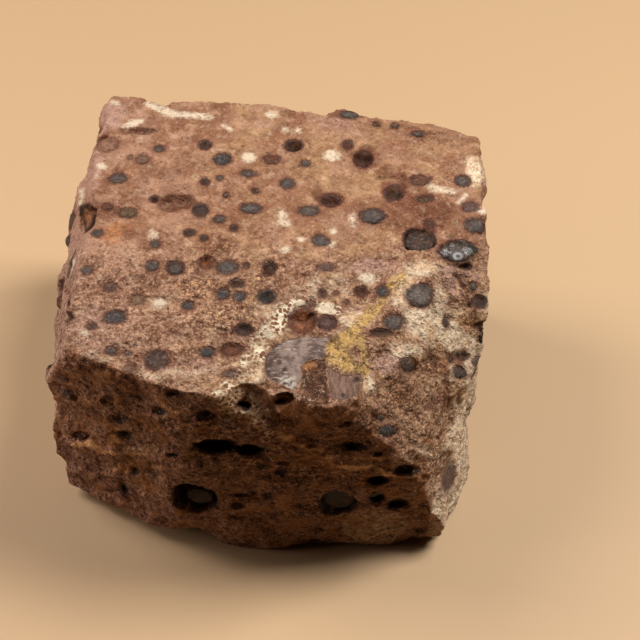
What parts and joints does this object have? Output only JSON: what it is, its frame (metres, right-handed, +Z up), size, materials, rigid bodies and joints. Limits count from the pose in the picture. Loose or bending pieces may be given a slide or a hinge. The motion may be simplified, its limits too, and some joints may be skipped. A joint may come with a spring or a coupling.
{
  "type": "bauxite rock specimen",
  "caption": "Blocky broken piece of pisolitic bauxite with round dark pisoliths, open sockets, a chalky seam and a fused pebble, standing on its flattest face.",
  "frame": {"origin": "bottom centre of the stone's bounding box, on the surface it stands on", "axes": "+X to the right along the stone's longest side, +Y from the dark front face to the back face, +Z up"},
  "size_m": [0.0806, 0.0708, 0.0508],
  "materials": {
    "bauxite": "rough earthy red-brown matrix with darker smooth pisoliths and chalky cream and ochre patches"
  },
  "bodies": {
    "root": {"bauxite_stone": "bauxite"}
  },
  "joints": []
}
